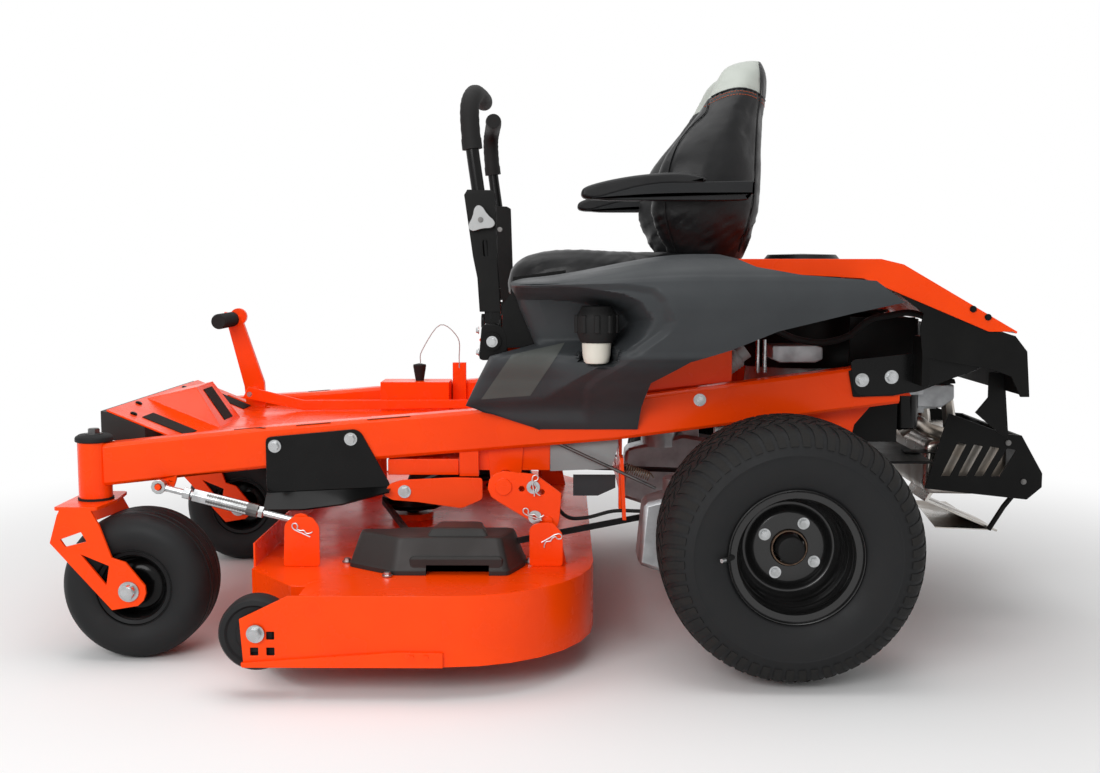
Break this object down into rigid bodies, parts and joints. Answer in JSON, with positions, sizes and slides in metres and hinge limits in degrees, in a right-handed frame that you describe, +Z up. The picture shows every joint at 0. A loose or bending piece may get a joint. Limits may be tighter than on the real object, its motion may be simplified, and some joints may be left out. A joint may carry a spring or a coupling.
{
  "type": "zero turn mower",
  "caption": "Zero turn riding mower with a belly cutting deck on lift links, swivel front casters, lap bars, tipping seat and rear engine.",
  "frame": {"origin": "on the ground under the middle of the bounding box", "axes": "+Z up, -X towards the front, -Y towards the rider's left"},
  "size_m": [1.942, 1.554, 1.165],
  "materials": {
    "armrest_left": "soft black vinyl over foam",
    "armrest_right": "soft black vinyl over foam",
    "belt_cover_left": "satin moulded dark grey plastic",
    "belt_cover_right": "satin moulded dark grey plastic",
    "blade_spindle_centre": "satin black powder coat",
    "blade_spindle_left": "satin black powder coat",
    "blade_spindle_right": "satin black powder coat",
    "caster_fork_left": "glossy orange powder coat",
    "caster_fork_right": "glossy orange powder coat",
    "caster_rim_left": "satin black powder coat",
    "caster_rim_right": "satin black powder coat",
    "caster_tyre_left": "matt black rubber",
    "caster_tyre_right": "matt black rubber",
    "deck_belt": "matt black rubber",
    "deck_shell": "glossy orange powder coat",
    "discharge_chute": "matt black rubber",
    "drive_rim_left": "satin black powder coat",
    "drive_rim_right": "satin black powder coat",
    "drive_tyre_left": "matt black rubber",
    "drive_tyre_right": "matt black rubber",
    "engine_block": "cast aluminium",
    "engine_clutch": "satin black powder coat",
    "engine_plate": "glossy orange powder coat",
    "engine_shroud": "satin black powder coat",
    "fender_left": "satin moulded dark grey plastic",
    "fender_right": "satin moulded dark grey plastic",
    "floor_pan": "glossy orange powder coat",
    "frame_rail_left": "glossy orange powder coat",
    "frame_rail_right": "glossy orange powder coat",
    "front_cross_tube": "glossy orange powder coat",
    "front_housing": "satin moulded dark grey plastic",
    "front_link_left": "bright zinc plate",
    "front_link_right": "bright zinc plate",
    "fuel_cap": "matt black rubber",
    "fuel_tank": "natural white plastic",
    "height_pin": "matt black rubber",
    "lap_bar_left": "satin black powder coat",
    "lap_bar_right": "satin black powder coat",
    "lever_grip_left": "matt black rubber",
    "lever_grip_right": "matt black rubber",
    "lever_pivot_left": "satin black powder coat",
    "lever_pivot_right": "satin black powder coat",
    "lift_pedal": "glossy orange powder coat",
    "lift_shaft": "glossy orange powder coat",
    "muffler": "bright zinc plate",
    "muffler_guard": "satin black powder coat",
    "pedal_link": "glossy orange powder coat",
    "pin_lanyard": "bright zinc plate",
    "rear_cover": "glossy orange powder coat",
    "rear_guard": "satin black powder coat",
    "scalp_wheel_left": "matt black rubber",
    "scalp_wheel_right": "matt black rubber",
    "seat_back": "soft black vinyl over foam",
    "seat_cushion": "soft black vinyl over foam",
    "seat_deck": "glossy orange powder coat",
    "seat_pan": "satin black powder coat",
    "side_step_left": "satin black powder coat",
    "side_step_right": "satin black powder coat",
    "transaxle_left": "cast aluminium",
    "transaxle_right": "cast aluminium"
  },
  "bodies": {
    "chassis": {"frame_rail_left": "frame_rail_left", "frame_rail_right": "frame_rail_right", "side_step_left": "side_step_left", "side_step_right": "side_step_right", "fender_left": "fender_left", "fender_right": "fender_right", "transaxle_left": "transaxle_left", "transaxle_right": "transaxle_right", "front_cross_tube": "front_cross_tube", "engine_plate": "engine_plate", "floor_pan": "floor_pan", "front_housing": "front_housing", "seat_deck": "seat_deck", "fuel_tank": "fuel_tank", "rear_cover": "rear_cover", "rear_guard": "rear_guard", "engine_block": "engine_block", "engine_shroud": "engine_shroud", "muffler": "muffler", "muffler_guard": "muffler_guard"},
    "deck": {"deck_shell": "deck_shell", "belt_cover_left": "belt_cover_left", "belt_cover_right": "belt_cover_right", "deck_belt": "deck_belt"},
    "drive_wheel_left": {"drive_tyre_left": "drive_tyre_left", "drive_rim_left": "drive_rim_left"},
    "caster_left": {"caster_fork_left": "caster_fork_left"},
    "caster_wheel_left": {"caster_tyre_left": "caster_tyre_left", "caster_rim_left": "caster_rim_left"},
    "drive_wheel_right": {"drive_tyre_right": "drive_tyre_right", "drive_rim_right": "drive_rim_right"},
    "caster_right": {"caster_fork_right": "caster_fork_right"},
    "caster_wheel_right": {"caster_tyre_right": "caster_tyre_right", "caster_rim_right": "caster_rim_right"},
    "blade_centre": {"blade_spindle_centre": "blade_spindle_centre"},
    "blade_left": {"blade_spindle_left": "blade_spindle_left"},
    "blade_right": {"blade_spindle_right": "blade_spindle_right"},
    "clutch": {"engine_clutch": "engine_clutch"},
    "scalp_left": {"scalp_wheel_left": "scalp_wheel_left"},
    "scalp_right": {"scalp_wheel_right": "scalp_wheel_right"},
    "chute": {"discharge_chute": "discharge_chute"},
    "lift": {"lift_shaft": "lift_shaft"},
    "link_left": {"front_link_left": "front_link_left"},
    "link_right": {"front_link_right": "front_link_right"},
    "pedal": {"lift_pedal": "lift_pedal"},
    "pedal_rod": {"pedal_link": "pedal_link"},
    "lever_left": {"lever_pivot_left": "lever_pivot_left"},
    "lap_left": {"lap_bar_left": "lap_bar_left", "lever_grip_left": "lever_grip_left"},
    "lever_right": {"lever_pivot_right": "lever_pivot_right"},
    "lap_right": {"lap_bar_right": "lap_bar_right", "lever_grip_right": "lever_grip_right"},
    "seat": {"seat_pan": "seat_pan", "seat_cushion": "seat_cushion", "seat_back": "seat_back"},
    "arm_left": {"armrest_left": "armrest_left"},
    "arm_right": {"armrest_right": "armrest_right"},
    "cap": {"fuel_cap": "fuel_cap"},
    "pin": {"height_pin": "height_pin", "pin_lanyard": "pin_lanyard"}
  },
  "joints": [
    {"name": "drive_wheel_left_spin", "type": "hinge", "parent": "chassis", "child": "drive_wheel_left", "pos_m": [0.387, -0.6305, 0.241], "axis": [0, 1, 0], "continuous": true},
    {"name": "caster_left_swivel", "type": "hinge", "parent": "chassis", "child": "caster_left", "pos_m": [-0.912, -0.508, 0.299], "axis": [0, 0, 1], "continuous": true},
    {"name": "caster_wheel_left_spin", "type": "hinge", "parent": "caster_left", "child": "caster_wheel_left", "pos_m": [-0.826, -0.508, 0.14], "axis": [0, 1, 0], "continuous": true},
    {"name": "drive_wheel_right_spin", "type": "hinge", "parent": "chassis", "child": "drive_wheel_right", "pos_m": [0.387, 0.4045, 0.241], "axis": [0, 1, 0], "continuous": true},
    {"name": "caster_right_swivel", "type": "hinge", "parent": "chassis", "child": "caster_right", "pos_m": [-0.912, 0.282, 0.299], "axis": [0, 0, 1], "continuous": true},
    {"name": "caster_wheel_right_spin", "type": "hinge", "parent": "caster_right", "child": "caster_wheel_right", "pos_m": [-0.826, 0.282, 0.14], "axis": [0, 1, 0], "continuous": true},
    {"name": "deck_lift", "type": "slide", "parent": "chassis", "child": "deck", "axis": [0, 0, 1], "range_m": [0, 0.04], "deforming": ["deck_belt"]},
    {"name": "blade_centre_spin", "type": "hinge", "parent": "deck", "child": "blade_centre", "pos_m": [-0.353, -0.113, 0.182], "axis": [0, 0, 1], "continuous": true},
    {"name": "blade_left_spin", "type": "hinge", "parent": "deck", "child": "blade_left", "pos_m": [-0.228, -0.541, 0.182], "axis": [0, 0, 1], "continuous": true},
    {"name": "blade_right_spin", "type": "hinge", "parent": "deck", "child": "blade_right", "pos_m": [-0.228, 0.315, 0.182], "axis": [0, 0, 1], "continuous": true},
    {"name": "engine_clutch_spin", "type": "hinge", "parent": "chassis", "child": "clutch", "pos_m": [0.502, -0.113, 0.272], "axis": [0, 0, 1], "continuous": true},
    {"name": "scalp_wheel_left_spin", "type": "hinge", "parent": "deck", "child": "scalp_left", "pos_m": [-0.55, -0.742, 0.111], "axis": [0, 1, 0], "continuous": true},
    {"name": "scalp_wheel_right_spin", "type": "hinge", "parent": "deck", "child": "scalp_right", "pos_m": [-0.55, 0.516, 0.111], "axis": [0, 1, 0], "continuous": true},
    {"name": "chute_flip", "type": "hinge", "parent": "deck", "child": "chute", "pos_m": [-0.338, 0.5525, 0.176], "axis": [1, 0, 0], "range_deg": [0, 80]},
    {"name": "lift_shaft_turn", "type": "hinge", "parent": "chassis", "child": "lift", "pos_m": [-0.13, -0.113, 0.33], "axis": [0, -1, 0], "range_deg": [0, 30]},
    {"name": "front_link_left_swing", "type": "hinge", "parent": "chassis", "child": "link_left", "pos_m": [-0.778, -0.545, 0.33], "axis": [0, -1, 0], "range_deg": [0, 10]},
    {"name": "front_link_right_swing", "type": "hinge", "parent": "chassis", "child": "link_right", "pos_m": [-0.778, 0.319, 0.33], "axis": [0, -1, 0], "range_deg": [0, 10]},
    {"name": "lift_pedal_push", "type": "hinge", "parent": "chassis", "child": "pedal", "pos_m": [-0.761, 0.157, 0.345], "axis": [0, -1, 0], "range_deg": [0, 28]},
    {"name": "pedal_link_slide", "type": "slide", "parent": "chassis", "child": "pedal_rod", "axis": [-1, 0, 0], "range_m": [0, 0.045]},
    {"name": "lever_left_drive", "type": "hinge", "parent": "chassis", "child": "lever_left", "pos_m": [-0.153, -0.468, 0.6], "axis": [0, -1, 0], "range_deg": [-10, 15]},
    {"name": "lap_bar_left_open", "type": "hinge", "parent": "lever_left", "child": "lap_left", "pos_m": [-0.153, -0.468, 0.64], "axis": [1, 0, 0], "range_deg": [0, 25]},
    {"name": "lever_right_drive", "type": "hinge", "parent": "chassis", "child": "lever_right", "pos_m": [-0.153, 0.242, 0.6], "axis": [0, -1, 0], "range_deg": [-10, 15]},
    {"name": "lap_bar_right_open", "type": "hinge", "parent": "lever_right", "child": "lap_right", "pos_m": [-0.153, 0.242, 0.64], "axis": [-1, 0, 0], "range_deg": [0, 25]},
    {"name": "seat_tip", "type": "hinge", "parent": "chassis", "child": "seat", "pos_m": [-0.083, -0.113, 0.659], "axis": [0, -1, 0], "range_deg": [0, 40]},
    {"name": "armrest_left_fold", "type": "hinge", "parent": "seat", "child": "arm_left", "pos_m": [0.342, -0.404, 0.885], "axis": [0, 1, 0], "range_deg": [0, 80]},
    {"name": "armrest_right_fold", "type": "hinge", "parent": "seat", "child": "arm_right", "pos_m": [0.342, 0.178, 0.885], "axis": [0, 1, 0], "range_deg": [0, 80]},
    {"name": "fuel_cap_twist", "type": "hinge", "parent": "chassis", "child": "cap", "pos_m": [0.042, -0.608, 0.606], "axis": [0, 0, 1], "range_deg": [0, 300]},
    {"name": "height_pin_pull", "type": "slide", "parent": "chassis", "child": "pin", "axis": [0, 0, 1], "range_m": [0, 0.05]}
  ],
  "couplings": [
    {"joint": "blade_left_spin", "follows": "blade_centre_spin", "ratio": 1},
    {"joint": "blade_right_spin", "follows": "blade_centre_spin", "ratio": 1},
    {"joint": "engine_clutch_spin", "follows": "blade_centre_spin", "ratio": 1},
    {"joint": "lift_shaft_turn", "follows": "deck_lift", "rad_per_m": 11.765},
    {"joint": "front_link_left_swing", "follows": "deck_lift", "rad_per_m": 3.7313},
    {"joint": "front_link_right_swing", "follows": "deck_lift", "rad_per_m": 3.7313},
    {"joint": "lift_pedal_push", "follows": "deck_lift", "rad_per_m": 10.638},
    {"joint": "pedal_link_slide", "follows": "deck_lift", "ratio": 1}
  ]
}
